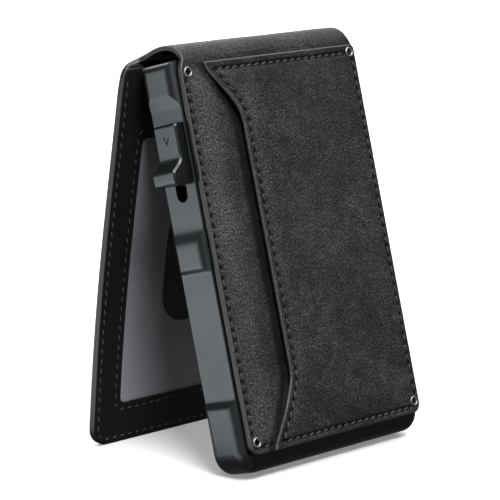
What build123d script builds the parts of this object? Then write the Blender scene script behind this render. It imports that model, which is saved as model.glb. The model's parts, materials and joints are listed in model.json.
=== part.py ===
from build123d import *
import math
import os

# A folding leather card wallet with a metal card case, a side trigger that pushes the cards
# out of the case's mouth, a money clip on the case's back, and a leather flap with an
# identity window. It stands as a narrow A: the case leans back and the flap leans forward.
#
# Units are millimetres. Three frames are used.
#   row frame   Z up, the surface it stands on is Z = 0, the origin is under the middle of it.
#   case frame  x across, y from the leather's front face into the depth, z up the case from
#               the leather's bottom edge. Every piece of the case is drawn here.
#   flap frame  x across, y from the lining's face outwards, z up from the flap's bottom edge.

# ---------------------------------------------------------------- stance
CASE_LEAN = 14.9
FLAP_LEAN = 7.6
HINGE_Y = 12.3
HINGE_Z = 99.5
HINGE_TO_LINING = 1.9

# ---------------------------------------------------------------- metal case
CASE_WIDTH = 66.0
CASE_FRONT = 2.0
CASE_DEPTH = 11.2
CASE_BOTTOM = -4.45
CASE_TOP = 98.4
CASE_BACK = CASE_FRONT + CASE_DEPTH
EDGE_RADIUS = 2.6
BOTTOM_CORNER_RADIUS = 5.5
TOP_CORNER_RADIUS = 2.0
BEZEL_TOP = 1.2
MOUTH_FRONT = 4.3
MOUTH_BACK = 10.9
PLATE_THICKNESS = 1.1
PLATE_HALF_WIDTH = 29.6
CAVITY_HALF_WIDTH = 27.4
CAP_THICKNESS = 2.0

# The sides are waisted: flats are cut into them, and three full-width blocks stay proud.
FLAT_X = -31.5
TOP_BLOCK_END = 90.8
UPPER_FLAT_TOP = 86.6
UPPER_FLAT_END = 57.8
MIDDLE_BLOCK_TOP = 52.4
MIDDLE_BLOCK_END = 48.0
LOWER_FLAT_TOP = 45.6
LOWER_FLAT_END = 15.0
BOTTOM_BLOCK_TOP = 11.6

# ---------------------------------------------------------------- trigger and pusher
SLOT_MIDDLE_Y = 7.4
SLOT_WIDTH = 3.9
SLOT_BOTTOM = 63.9
SLOT_TOP = 82.5
CHANNEL_WALL_X = -30.4
CHANNEL_WIDTH = 5.4
CHANNEL_BOTTOM = 49.0
STEM_WIDTH = 3.7
STEM_BOTTOM = 74.1
STEM_TOP = 82.3
TRIGGER_BASE_X = -31.62
TRIGGER_FACE_X = -34.0
TAB_FACE_X = -37.2
TRIGGER_FRONT = 2.8
TRIGGER_BACK = 10.8
TRIGGER_TOP = 83.4
COVE_MIDDLE = 74.2
COVE_RADIUS = 2.6
TAB_TOP = 71.7
TAB_BOTTOM = 68.4
TAB_RADIUS = 1.45
TRIGGER_BOTTOM = 68.1
TRIGGER_CHAMFER = 0.45
ARROW_Y = 6.7
ARROW_Z = 79.5
ARROW_LINE = 0.34
ARROW_DEPTH = 0.25
CARRIAGE_OUTER_X = -30.2
CARRIAGE_INNER_X = -27.7
CARRIAGE_BOTTOM = 71.6
PUSHER_TOP = 94.2
PUSHER_REACH_X = -12.0
PUSHER_FRONT = 4.4
CARD_PITCH = 1.28
CARD_STEPS = 5
CARD_TOP = 82.4
STEP_HEIGHT = 1.8
SCREW_RADIUS = 0.5
SCREW_HEAD_RADIUS = 1.0
SCREW_HEAD_DEPTH = 0.5
HOLE_CLEARANCE = 0.02
SPRING_WIRE = 0.4
SPRING_COIL_RADIUS = 1.15
SPRING_TURNS = 10
SPRING_END_GAP = 0.02

# ---------------------------------------------------------------- leather front
LEATHER = 1.5
PANEL_HALF_WIDTH = 31.2
PANEL_TOP = 97.4
PANEL_CORNER = 2.5
POCKET = 1.0
POCKET_RIGHT_X = 30.3
POUCH_GAP = 0.35
POUCH_SEAM = 3.0
NECK_HALF_WIDTH = 29.6
EYELET_LEFT_X = -29.0
EYELET_RIGHT_X = 28.1
EYELET_LOW_Z = 3.0
EYELET_HIGH_Z = 95.0
EYELET_FLANGE_RADIUS = 1.35
EYELET_BARREL_RADIUS = 0.95
EYELET_HOLE_RADIUS = 0.78
EYELET_FLANGE = 0.25

# ---------------------------------------------------------------- flap
FLAP_HALF_WIDTH = 36.0
FLAP_TOP = 99.9
FLAP_SHOULDER = 96.5
FLAP_CORNER = 4.5
LINING = 0.6
STIFFENER = 0.4
OUTER_LEATHER = 1.1
FLAP_THICKNESS = LINING + STIFFENER + OUTER_LEATHER
FILM = 0.25
WINDOW_HALF_WIDTH = 27.2
WINDOW_BOTTOM = 10.4
WINDOW_TOP = 81.0
WINDOW_CORNER = 1.6
FILM_MARGIN = 3.0
NOTCH_X = -5.6
NOTCH_RADIUS = 8.8
NOTCH_BOTTOM = 29.3
NOTCH_TOP = 62.0
SPINE_THICKNESS = 1.3

# ---------------------------------------------------------------- money clip
CLIP_HALF_WIDTH = 9.0
CLIP_STEEL = 0.6
CLIP_BOTTOM = 30.0
CLIP_TOP = 70.0
CLIP_GRIP_Z = 37.0
CLIP_BEND_GAP = 1.5
CLIP_GRIP_GAP = 0.3
CLIP_LIP_RISE = 1.5
RIVET_RADIUS = 1.0
RIVET_HEAD_RADIUS = 1.7
RIVET_HEAD = 0.35

# ---------------------------------------------------------------- placing the two frames
lean_sin = math.sin(math.radians(CASE_LEAN))
lean_cos = math.cos(math.radians(CASE_LEAN))
flap_sin = math.sin(math.radians(FLAP_LEAN))
flap_cos = math.cos(math.radians(FLAP_LEAN))


def leaned(y, z):
    """A point of the case frame, tipped back by the case's lean."""
    return (y * lean_cos + z * lean_sin, z * lean_cos - y * lean_sin)


rim_y, rim_z = leaned(CASE_BACK - EDGE_RADIUS, CASE_BOTTOM + EDGE_RADIUS)
FLOOR = rim_z - EDGE_RADIUS
hinge_y, hinge_z = leaned(HINGE_Y, HINGE_Z)
FLAP_LENGTH = (hinge_z + HINGE_TO_LINING * flap_sin - FLOOR) / flap_cos
flap_foot_y = hinge_y + HINGE_TO_LINING * flap_cos + FLAP_LENGTH * flap_sin
front_edge_y, front_edge_z = leaned(-POCKET, 0)
back_edge_y = flap_foot_y + FLAP_THICKNESS * flap_cos
SHIFT_X = (-TAB_FACE_X - FLAP_HALF_WIDTH) / 2
SHIFT_Y = -(front_edge_y + back_edge_y) / 2
CASE_PLACE = Pos(SHIFT_X, SHIFT_Y, -FLOOR) * Rot(-CASE_LEAN, 0, 0)
FLAP_PLACE = Pos(SHIFT_X, SHIFT_Y + flap_foot_y, 0) * Rot(FLAP_LEAN, 0, 0)


# ---------------------------------------------------------------- helpers
def block(x0, x1, y0, y1, z0, z1):
    """A box between two corners."""
    return Pos((x0 + x1) / 2, (y0 + y1) / 2, (z0 + z1) / 2) * Box(x1 - x0, y1 - y0, z1 - z0)


def plate(outline, y0, y1):
    """A flat piece: an outline drawn in x and z, thickened from y0 to y1."""
    return Pos(0, y0, 0) * extrude(Plane.XZ * outline, -(y1 - y0))


def rod(radius, y0, y1, x, z):
    """A round pin along y."""
    return Pos(x, (y0 + y1) / 2, z) * Rot(90, 0, 0) * Cylinder(radius, y1 - y0)


def cross_rod(radius, x0, x1, y, z):
    """A round pin along x."""
    return Pos((x0 + x1) / 2, y, z) * Rot(0, 90, 0) * Cylinder(radius, x1 - x0)


def rounded(corners, radii):
    """A closed outline with one radius for each corner."""
    return make_face(FilletPolyline(*corners, radius=radii, close=True))


def strip(line, width, half_width):
    """A bent sheet: a line drawn in y and z, widened and drawn out across x."""
    section = Plane.YZ * trace(line, line_width=width)
    return Pos(-half_width, 0, 0) * extrude(section, 2 * half_width)


def countersunk(y_face, inward, x, z, length):
    """A countersunk screw along y whose head lies flush in the face at y_face."""
    head = Rot(-90 * inward, 0, 0) * Cone(SCREW_HEAD_RADIUS, SCREW_RADIUS, SCREW_HEAD_DEPTH)
    head = Pos(x, y_face + inward * SCREW_HEAD_DEPTH / 2, z) * head
    low, high = sorted((y_face + inward * SCREW_HEAD_DEPTH, y_face + inward * length))
    return head + rod(SCREW_RADIUS, low, high, x, z)


# ---------------------------------------------------------------- metal case
def case_body():
    """The solid outer form of the case: round long edges, round foot, round lower corners."""
    half = CASE_WIDTH / 2
    spare = 10
    height = CASE_TOP + spare - CASE_BOTTOM
    outline = Pos(0, CASE_BOTTOM + height / 2) * Rectangle(CASE_WIDTH, height)
    outline = fillet(outline.vertices().group_by(Axis.Y)[0], BOTTOM_CORNER_RADIUS)
    body = plate(outline, CASE_FRONT, CASE_BACK)
    faces = body.faces().filter_by(Axis.Y)
    rims = [e for e in faces.edges() if e.center().Z < CASE_TOP + spare - 1]
    body = fillet(rims, EDGE_RADIUS)
    top = rounded(
        [(-half, -20), (half, -20), (half, CASE_TOP), (-half, CASE_TOP)],
        [TOP_CORNER_RADIUS] * 4,
    )
    return body & plate(top, CASE_FRONT - 1, CASE_BACK + 1)


def ease(start, end):
    """A soft step between a block's face and a flat: it leaves and arrives along the case."""
    return Spline(start, end, tangents=((0, -1), (0, -1)))


def waist_cut():
    """What is milled off the left side between the three blocks."""
    outside = -CASE_WIDTH / 2 - 1
    face = -CASE_WIDTH / 2
    upper = [
        Line((outside, TOP_BLOCK_END), (face, TOP_BLOCK_END)),
        ease((face, TOP_BLOCK_END), (FLAT_X, UPPER_FLAT_TOP)),
        Line((FLAT_X, UPPER_FLAT_TOP), (FLAT_X, UPPER_FLAT_END)),
        ease((FLAT_X, UPPER_FLAT_END), (face, MIDDLE_BLOCK_TOP)),
        Line((face, MIDDLE_BLOCK_TOP), (outside, MIDDLE_BLOCK_TOP)),
        Line((outside, MIDDLE_BLOCK_TOP), (outside, TOP_BLOCK_END)),
    ]
    lower = [
        Line((outside, MIDDLE_BLOCK_END), (face, MIDDLE_BLOCK_END)),
        ease((face, MIDDLE_BLOCK_END), (FLAT_X, LOWER_FLAT_TOP)),
        Line((FLAT_X, LOWER_FLAT_TOP), (FLAT_X, LOWER_FLAT_END)),
        ease((FLAT_X, LOWER_FLAT_END), (face, BOTTOM_BLOCK_TOP)),
        Line((face, BOTTOM_BLOCK_TOP), (outside, BOTTOM_BLOCK_TOP)),
        Line((outside, BOTTOM_BLOCK_TOP), (outside, MIDDLE_BLOCK_END)),
    ]
    cut = plate(make_face(upper), CASE_FRONT - 1, CASE_BACK + 1)
    return cut + plate(make_face(lower), CASE_FRONT - 1, CASE_BACK + 1)


SCREW_ROWS_Z = (8.0, 50.0, 91.0)
SCREW_X = 28.5
SCREW_LENGTH = 2.3


def plate_screws():
    """Twelve countersunk screws that hold the front and back plates to the rails."""
    screws = []
    for side in (-1, 1):
        for z in SCREW_ROWS_Z:
            screws.append(countersunk(CASE_FRONT, 1, side * SCREW_X, z, SCREW_LENGTH))
            screws.append(countersunk(CASE_BACK, -1, side * SCREW_X, z, SCREW_LENGTH))
    return screws


def screw_holes():
    """The holes for the plate screws, a hair larger than the screws."""
    holes = []
    reach = SCREW_LENGTH + HOLE_CLEARANCE
    for side in (-1, 1):
        for z in SCREW_ROWS_Z:
            x = side * SCREW_X
            holes.append(countersunk(CASE_FRONT, 1, x, z, SCREW_LENGTH))
            holes.append(rod(SCREW_RADIUS + HOLE_CLEARANCE, CASE_FRONT, CASE_FRONT + reach, x, z))
            holes.append(countersunk(CASE_BACK, -1, x, z, SCREW_LENGTH))
            holes.append(rod(SCREW_RADIUS + HOLE_CLEARANCE, CASE_BACK - reach, CASE_BACK, x, z))
    return holes


def side_rail(side):
    """One milled side of the case, with ledges for the plates. side is -1 left, 1 right."""
    rail = case_body() & block(-CASE_WIDTH, -CAVITY_HALF_WIDTH, 0, 20, -20, 120)
    rail -= waist_cut()
    front_ledge = CASE_FRONT + PLATE_THICKNESS
    back_ledge = CASE_BACK - PLATE_THICKNESS
    rail -= block(-PLATE_HALF_WIDTH, 0, 0, front_ledge, -20, 120)
    rail -= block(-PLATE_HALF_WIDTH, 0, back_ledge, 20, -20, 120)
    rail -= block(-PLATE_HALF_WIDTH, 0, 0, 20, -20, BEZEL_TOP)
    if side > 0:
        rail = mirror(rail, about=Plane.YZ)
    return rail


def left_rail():
    """The left side: a channel inside for the pusher, and the slot that its stem runs in."""
    rail = side_rail(-1)
    low = SLOT_MIDDLE_Y - CHANNEL_WIDTH / 2
    high = SLOT_MIDDLE_Y + CHANNEL_WIDTH / 2
    rail -= block(CHANNEL_WALL_X, 0, low, high, CHANNEL_BOTTOM, CASE_TOP - CAP_THICKNESS)
    height = SLOT_TOP - SLOT_BOTTOM
    slot = Rot(0, 0, 90) * SlotOverall(height, SLOT_WIDTH)
    slot = Pos(0, SLOT_MIDDLE_Y, (SLOT_TOP + SLOT_BOTTOM) / 2) * (Plane.YZ * slot)
    rail -= Pos(-CASE_WIDTH, 0, 0) * extrude(slot, CASE_WIDTH - CAVITY_HALF_WIDTH)
    return rail


def case_plate(y0, y1):
    """A cover plate between the rails."""
    return block(-PLATE_HALF_WIDTH, PLATE_HALF_WIDTH, y0, y1, BEZEL_TOP, CASE_TOP)


def mouth_bezel():
    """The foot of the case: a rounded frame round the mouth that the cards come out of."""
    half = PLATE_HALF_WIDTH
    bezel = case_body() & block(-half, half, 0, 20, -20, BEZEL_TOP)
    cards = CAVITY_HALF_WIDTH
    return bezel - block(-cards, cards, MOUTH_FRONT, MOUTH_BACK, -20, 20)


def top_cap():
    """The bar that closes the case under the spine."""
    return block(
        -CAVITY_HALF_WIDTH,
        CAVITY_HALF_WIDTH,
        CASE_FRONT + PLATE_THICKNESS,
        CASE_BACK - PLATE_THICKNESS,
        CASE_TOP - CAP_THICKNESS,
        CASE_TOP,
    )


GRIP_STRIP = 0.3
GRIP_BOTTOM = 12.0
GRIP_TOP = 68.0


def card_grips():
    """Two thin rubber strips on the back plate's inside that keep the cards from falling out."""
    inner = CASE_BACK - PLATE_THICKNESS
    return [
        block(x - 2, x + 2, inner - GRIP_STRIP, inner, GRIP_BOTTOM, GRIP_TOP) for x in (-14, 14)
    ]


# ---------------------------------------------------------------- trigger and pusher
TRIGGER_SCREWS_Z = (76.4, 80.0)
TRIGGER_SCREW_TIP_X = -32.6
SCREW_SEAT_X = CARRIAGE_INNER_X - 0.6


def trigger_screws():
    """Two screws from inside the carriage into the trigger's stem."""
    screws = []
    for z in TRIGGER_SCREWS_Z:
        shank = cross_rod(SCREW_RADIUS, TRIGGER_SCREW_TIP_X, SCREW_SEAT_X, SLOT_MIDDLE_Y, z)
        head = cross_rod(0.9, SCREW_SEAT_X, CARRIAGE_INNER_X - 0.1, SLOT_MIDDLE_Y, z)
        screws.append(shank + head)
    return screws


def trigger_screw_room():
    """The bores that the trigger screws sit in, a hair larger than the screws."""
    room = []
    for z in TRIGGER_SCREWS_Z:
        wide = SCREW_RADIUS + HOLE_CLEARANCE
        tip = TRIGGER_SCREW_TIP_X - HOLE_CLEARANCE
        room.append(cross_rod(wide, tip, SCREW_SEAT_X, SLOT_MIDDLE_Y, z))
        room.append(cross_rod(0.95, SCREW_SEAT_X, CARRIAGE_INNER_X + 1, SLOT_MIDDLE_Y, z))
    return room


def trigger_button():
    """The thumb trigger: a slab with a coved foot that runs out into a rounded thumb tab."""
    outline = rounded(
        [
            (TRIGGER_BASE_X + 1, TRIGGER_TOP),
            (TRIGGER_FACE_X, TRIGGER_TOP),
            (TRIGGER_FACE_X, COVE_MIDDLE),
            (TAB_FACE_X, TAB_TOP),
            (TAB_FACE_X, TAB_BOTTOM),
            (TRIGGER_BASE_X + 1, TRIGGER_BOTTOM),
        ],
        [0.1, 0.9, COVE_RADIUS, TAB_RADIUS, TAB_RADIUS, 0.1],
    )
    body = plate(outline, TRIGGER_FRONT, TRIGGER_BACK)
    body -= block(TRIGGER_BASE_X, 0, 0, CASE_BACK, TRIGGER_BOTTOM - 1, TRIGGER_TOP + 1)
    rims = []
    for edge in body.edges():
        middle = edge.center()
        on_cheek = abs(middle.Y - TRIGGER_FRONT) < 0.01 or abs(middle.Y - TRIGGER_BACK) < 0.01
        if on_cheek and middle.X < TRIGGER_BASE_X - 0.1:
            rims.append(edge)
    body = chamfer(rims, TRIGGER_CHAMFER)
    height = STEM_TOP - STEM_BOTTOM
    stem = Plane.YZ * (Rot(0, 0, 90) * SlotOverall(height, STEM_WIDTH))
    stem = Pos(CARRIAGE_OUTER_X, SLOT_MIDDLE_Y, (STEM_TOP + STEM_BOTTOM) / 2) * stem
    body += extrude(stem, TRIGGER_BASE_X - CARRIAGE_OUTER_X)
    arrow = Polyline((-1.15, 0.95), (1.15, 0.95), (0, -1.45), close=True)
    arrow = make_face(arrow) - offset(make_face(arrow), -ARROW_LINE)
    arrow = Pos(TRIGGER_FACE_X - 1, ARROW_Y, ARROW_Z) * (Plane.YZ * arrow)
    body -= extrude(arrow, 1 + ARROW_DEPTH)
    for room in trigger_screw_room():
        body -= room
    return body


def card_pusher():
    """The carriage in the rail's channel, with the stepped foot that fans the cards."""
    half = CHANNEL_WIDTH / 2 - 0.2
    low = SLOT_MIDDLE_Y - half
    high = SLOT_MIDDLE_Y + half
    body = block(CARRIAGE_OUTER_X, CARRIAGE_INNER_X, low, high, CARRIAGE_BOTTOM, PUSHER_TOP)
    neck = block(CARRIAGE_OUTER_X, PUSHER_REACH_X, low, high, 90.5, PUSHER_TOP)
    body += neck
    for step in range(CARD_STEPS):
        y0 = PUSHER_FRONT + step * CARD_PITCH
        z0 = CARD_TOP + (CARD_STEPS - 1 - step) * STEP_HEIGHT
        body += block(-27.0, PUSHER_REACH_X, y0, y0 + CARD_PITCH, z0, PUSHER_TOP)
    for room in trigger_screw_room():
        body -= room
    return body


def return_spring():
    """The compression spring under the carriage, in the bottom of the channel."""
    x = (CHANNEL_WALL_X - CAVITY_HALF_WIDTH) / 2
    low = CHANNEL_BOTTOM + SPRING_WIRE / 2 + SPRING_END_GAP
    length = CARRIAGE_BOTTOM - CHANNEL_BOTTOM - SPRING_WIRE - 2 * SPRING_END_GAP
    path = Helix(length / SPRING_TURNS, length, SPRING_COIL_RADIUS)
    wire = Plane(origin=path @ 0, z_dir=path % 0) * Circle(SPRING_WIRE / 2)
    return Pos(x, SLOT_MIDDLE_Y, low) * sweep(wire, path=path)


# ---------------------------------------------------------------- leather front
def eyelet_spots():
    """Centre and front face of each of the four corner eyelets."""
    spots = []
    for x, face in ((EYELET_LEFT_X, 0.0), (EYELET_RIGHT_X, -POCKET)):
        for z in (EYELET_LOW_Z, EYELET_HIGH_Z):
            spots.append((x, face, z))
    return spots


def corner_eyelets():
    """Four hollow rivets at the corners of the leather."""
    rings = []
    for x, face, z in eyelet_spots():
        flange = rod(EYELET_FLANGE_RADIUS, face - EYELET_FLANGE, face, x, z)
        barrel = rod(EYELET_BARREL_RADIUS, face, CASE_FRONT, x, z)
        hole = rod(EYELET_HOLE_RADIUS, face - 1, CASE_FRONT + 1, x, z)
        rings.append(flange + barrel - hole)
    return rings


def eyelet_holes(sheet):
    """A leather or board sheet with the four eyelet holes cut in it."""
    for x, face, z in eyelet_spots():
        sheet -= rod(EYELET_BARREL_RADIUS + HOLE_CLEARANCE, -3, CASE_FRONT + 1, x, z)
    return sheet


def leather_panel():
    """The leather on the case's front, with shoulders up to the spine's neck."""
    half = PANEL_HALF_WIDTH
    outline = rounded(
        [
            (-half, 0),
            (half, 0),
            (half, PANEL_TOP - 1.2),
            (NECK_HALF_WIDTH, PANEL_TOP),
            (-NECK_HALF_WIDTH, PANEL_TOP),
            (-half, PANEL_TOP - 1.2),
        ],
        [PANEL_CORNER, PANEL_CORNER, 0.8, 0.1, 0.1, 0.8],
    )
    return eyelet_holes(plate(outline, 0, LEATHER))


def backing_board():
    """The thin board that the front leather is glued to."""
    half = PANEL_HALF_WIDTH - 1
    board = block(-half, half, LEATHER, CASE_FRONT, 0.8, PANEL_TOP - 0.8)
    return eyelet_holes(board)


POCKET_OUTLINE = [
    (-24.0, 0.0),
    (POCKET_RIGHT_X, 0.0),
    (POCKET_RIGHT_X, 97.0),
    (-24.0, 97.0),
    (-23.5, 94.8),
    (-15.3, 83.6),
    (-15.1, 16.6),
]
POCKET_RADII = [0.4, PANEL_CORNER, 1.5, 0.4, 1.2, 4.5, 3.0]


def pocket_panel():
    """The outer pocket: stitched along the top, right and bottom, open on its left edge."""
    panel = plate(rounded(POCKET_OUTLINE, POCKET_RADII), -POCKET, 0)
    right = POCKET_RIGHT_X - POUCH_SEAM
    panel -= block(-40, right, -POUCH_GAP, 0.1, POUCH_SEAM, 97.0 - POUCH_SEAM)
    return eyelet_holes(panel)


# ---------------------------------------------------------------- spine and flap
def flap_to_case(y, z):
    """A point of the flap frame in the case frame's y and z."""
    row_y = flap_foot_y + y * flap_cos - z * flap_sin
    row_z = y * flap_sin + z * flap_cos + FLOOR
    return (row_y * lean_cos - row_z * lean_sin, row_y * lean_sin + row_z * lean_cos)


def spine_leather():
    """The leather hinge: it arches over the case's top from the front panel to the flap."""
    fold = math.radians(CASE_LEAN + FLAP_LEAN)
    end = flap_to_case(LINING + STIFFENER + OUTER_LEATHER / 2, FLAP_TOP)
    line = Spline(
        (SPINE_THICKNESS / 2, PANEL_TOP),
        (1.9, 99.9),
        (5.2, 101.85),
        (9.5, 101.9),
        (13.4, 100.9),
        end,
        tangents=((0, 1), (math.sin(fold), -math.cos(fold))),
    )
    return strip(line, SPINE_THICKNESS, NECK_HALF_WIDTH)


def flap_outline(inset, top):
    """The flap's outline with round lower corners and sloping shoulders."""
    half = FLAP_HALF_WIDTH - inset
    neck = NECK_HALF_WIDTH
    return rounded(
        [(-half, inset), (half, inset), (half, FLAP_SHOULDER), (neck, top), (-neck, top),
         (-half, FLAP_SHOULDER)],
        [FLAP_CORNER, FLAP_CORNER, 4.0, 1.5, 1.5, 4.0],
    )


def window_outline(grow):
    """The identity window's outline, grown by a margin."""
    width = 2 * (WINDOW_HALF_WIDTH + grow)
    height = WINDOW_TOP - WINDOW_BOTTOM + 2 * grow
    middle = (WINDOW_TOP + WINDOW_BOTTOM) / 2
    return Pos(0, middle) * RectangleRounded(width, height, WINDOW_CORNER)


def flap_lining():
    """The inner leather frame round the window, rebated behind for the film."""
    sheet = plate(flap_outline(0, FLAP_TOP), 0, LINING)
    sheet -= plate(window_outline(0), -1, LINING + 1)
    return sheet - plate(window_outline(FILM_MARGIN), LINING - FILM, LINING + 1)


def window_film():
    """The clear window film with its thumb notch."""
    film = plate(window_outline(FILM_MARGIN), LINING - FILM, LINING)
    height = NOTCH_TOP - NOTCH_BOTTOM
    notch = Rot(0, 0, 90) * SlotOverall(height, 2 * NOTCH_RADIUS)
    notch = Pos(NOTCH_X, (NOTCH_TOP + NOTCH_BOTTOM) / 2) * notch
    return film - plate(notch, -1, LINING + 1)


def flap_stiffener():
    """The board between the flap's two leathers, and the back of the identity pocket."""
    return plate(flap_outline(1.5, FLAP_TOP - 1.5), LINING, LINING + STIFFENER)


def flap_outer():
    """The flap's outer leather."""
    return plate(flap_outline(0, FLAP_TOP), LINING + STIFFENER, FLAP_THICKNESS)


# ---------------------------------------------------------------- money clip
CLIP_RIVETS_Z = (52.0, 62.0)


def clip_base():
    """The clip's fixed leg, riveted flat on the case's back."""
    half = CLIP_HALF_WIDTH
    leg = block(-half, half, CASE_BACK, CASE_BACK + CLIP_STEEL, CLIP_BOTTOM + 2, CLIP_TOP)
    for z in CLIP_RIVETS_Z:
        leg -= rod(RIVET_RADIUS + HOLE_CLEARANCE, CASE_BACK - 3, CASE_BACK + 3, 0, z)
    return leg


def clip_bend():
    """The spring bend that joins the clip's two legs."""
    inner = CASE_BACK + CLIP_STEEL
    low = inner - CLIP_STEEL / 2
    high = inner + CLIP_BEND_GAP + CLIP_STEEL / 2
    bend = ThreePointArc(
        (low, CLIP_TOP), ((low + high) / 2, CLIP_TOP + (high - low) / 2), (high, CLIP_TOP)
    )
    return strip(bend, CLIP_STEEL, CLIP_HALF_WIDTH)


def clip_arm():
    """The clip's free leg: it bears on the fixed leg near its end, and its lip turns out."""
    inner = CASE_BACK + CLIP_STEEL
    top = (inner + CLIP_BEND_GAP + CLIP_STEEL / 2, CLIP_TOP)
    middle = (inner + 0.78 * CLIP_BEND_GAP + CLIP_STEEL / 2, (CLIP_TOP + CLIP_GRIP_Z) / 2)
    grip = (inner + CLIP_GRIP_GAP + CLIP_STEEL / 2, CLIP_GRIP_Z)
    lip = (inner + CLIP_LIP_RISE + CLIP_STEEL / 2, CLIP_BOTTOM)
    lip_slope = ((lip[0] - grip[0]) * 2, lip[1] - grip[1])
    line = Spline(top, middle, grip, lip, tangents=((0, -1), lip_slope))
    return strip(line, CLIP_STEEL, CLIP_HALF_WIDTH)


def clip_rivets():
    """Two rivets through the clip's fixed leg and the case's back plate."""
    rivets = []
    top = CASE_BACK + CLIP_STEEL
    for z in CLIP_RIVETS_Z:
        shank = rod(RIVET_RADIUS, CASE_BACK - PLATE_THICKNESS, top, 0, z)
        rivets.append(shank + rod(RIVET_HEAD_RADIUS, top, top + RIVET_HEAD, 0, z))
    return rivets


# ---------------------------------------------------------------- assembly
def drilled(sheet, holes):
    """A piece with a list of holes cut from it."""
    for hole in holes:
        sheet -= hole
    return sheet


front_plate = case_plate(CASE_FRONT, CASE_FRONT + PLATE_THICKNESS)
back_plate = case_plate(CASE_BACK - PLATE_THICKNESS, CASE_BACK)
rivet_holes = [
    rod(RIVET_RADIUS + HOLE_CLEARANCE, CASE_BACK - 3, CASE_BACK + 3, 0, z) for z in CLIP_RIVETS_Z
]

case_nodes = {
    "case_left_rail": drilled(left_rail(), screw_holes()),
    "case_right_rail": drilled(side_rail(1), screw_holes()),
    "case_front_plate": drilled(front_plate, screw_holes()),
    "case_back_plate": drilled(back_plate, screw_holes() + rivet_holes),
    "case_top_cap": top_cap(),
    "case_mouth_bezel": mouth_bezel(),
    "plate_screws": plate_screws(),
    "card_grip_strips": card_grips(),
    "trigger_button": trigger_button(),
    "trigger_screws": trigger_screws(),
    "card_pusher": card_pusher(),
    "return_spring": return_spring(),
    "front_backing_board": backing_board(),
    "front_leather_panel": leather_panel(),
    "pocket_panel": pocket_panel(),
    "corner_eyelets": corner_eyelets(),
    "spine_leather": spine_leather(),
    "money_clip_base": clip_base(),
    "money_clip_bend": clip_bend(),
    "money_clip_arm": clip_arm(),
    "money_clip_rivets": clip_rivets(),
}
flap_nodes = {
    "flap_lining": flap_lining(),
    "id_window_film": window_film(),
    "flap_stiffener": flap_stiffener(),
    "flap_outer_leather": flap_outer(),
}

os.makedirs("parts", exist_ok=True)
for place, nodes in ((CASE_PLACE, case_nodes), (FLAP_PLACE, flap_nodes)):
    for name, shape in nodes.items():
        pieces = shape if isinstance(shape, list) else [shape]
        solids = [place * solid for piece in pieces for solid in piece.solids()]
        export_step(Compound(children=solids), f"parts/{name}.step")
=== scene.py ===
import json
import math
import bmesh
import bpy
import numpy as np
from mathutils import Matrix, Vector


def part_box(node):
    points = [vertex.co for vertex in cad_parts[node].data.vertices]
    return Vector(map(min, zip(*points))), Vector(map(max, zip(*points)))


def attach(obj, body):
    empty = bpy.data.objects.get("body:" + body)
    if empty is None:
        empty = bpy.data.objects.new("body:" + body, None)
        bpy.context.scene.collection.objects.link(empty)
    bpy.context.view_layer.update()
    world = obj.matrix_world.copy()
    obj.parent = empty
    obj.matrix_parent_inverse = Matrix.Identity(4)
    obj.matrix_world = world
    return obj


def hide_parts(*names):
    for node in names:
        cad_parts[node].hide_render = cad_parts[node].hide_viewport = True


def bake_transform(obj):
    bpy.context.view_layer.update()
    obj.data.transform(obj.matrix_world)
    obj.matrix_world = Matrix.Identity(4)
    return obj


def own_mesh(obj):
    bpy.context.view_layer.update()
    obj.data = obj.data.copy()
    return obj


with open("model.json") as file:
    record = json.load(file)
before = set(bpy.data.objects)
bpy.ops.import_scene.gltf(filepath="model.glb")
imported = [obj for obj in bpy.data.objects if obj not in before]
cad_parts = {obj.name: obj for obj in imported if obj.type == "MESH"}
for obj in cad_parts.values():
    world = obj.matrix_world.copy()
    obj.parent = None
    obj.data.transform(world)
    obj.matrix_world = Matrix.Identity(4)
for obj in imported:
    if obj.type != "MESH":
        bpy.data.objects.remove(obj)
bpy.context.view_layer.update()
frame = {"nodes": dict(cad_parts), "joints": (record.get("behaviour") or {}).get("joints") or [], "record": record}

# The wallet is drawn in millimetres in the two frames that its CAD uses:
#   case frame  x across, y from the leather's front face into the depth, z up the case
#   flap frame  x across, y from the lining's face outwards, z up from the flap's bottom edge
# A Place turns such points into metres in the row frame.
MM = 0.001
HINGE_Y, HINGE_Z = 12.3, 99.5
HINGE_TO_LINING = 1.9


class Place:
    """A drawing frame: its origin, its depth direction and its upward direction."""

    def __init__(self, origin, deep, up):
        self.origin = np.array(origin)
        self.axes = np.array([(1, 0, 0), tuple(deep), tuple(up)])

    def at(self, points):
        """Row frame metres for points in this frame's millimetres."""
        return self.origin + np.asarray(points, float) @ self.axes * MM


def joint(name):
    """The frame's joint of a name."""
    return next(j for j in frame["joints"] if j["name"] == name)


hinge = Vector(joint("flap_fold")["pos_m"])
case_up = -Vector(joint("trigger_slide")["axis"]).normalized()
case_deep = Vector((0, case_up.z, -case_up.y))
mounts = {m["name"]: m for m in frame["record"]["mounts"]}
flap_out = Vector(mounts["flap_rest_face"]["axis"]).normalized()
flap_up = Vector((0, -flap_out.z, flap_out.y))
cover_low, cover_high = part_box("flap_outer_leather")
middle = Vector(((cover_low.x + cover_high.x) / 2, 0, 0))
case_origin = middle + hinge - case_deep * HINGE_Y * MM - case_up * HINGE_Z * MM
flap_length = (hinge.z + HINGE_TO_LINING * MM * flap_out.z) / flap_up.z
flap_origin = middle + hinge + flap_out * HINGE_TO_LINING * MM - flap_up * flap_length
CASE = Place(case_origin, case_deep, case_up)
FLAP = Place(flap_origin, flap_out, flap_up)

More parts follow.
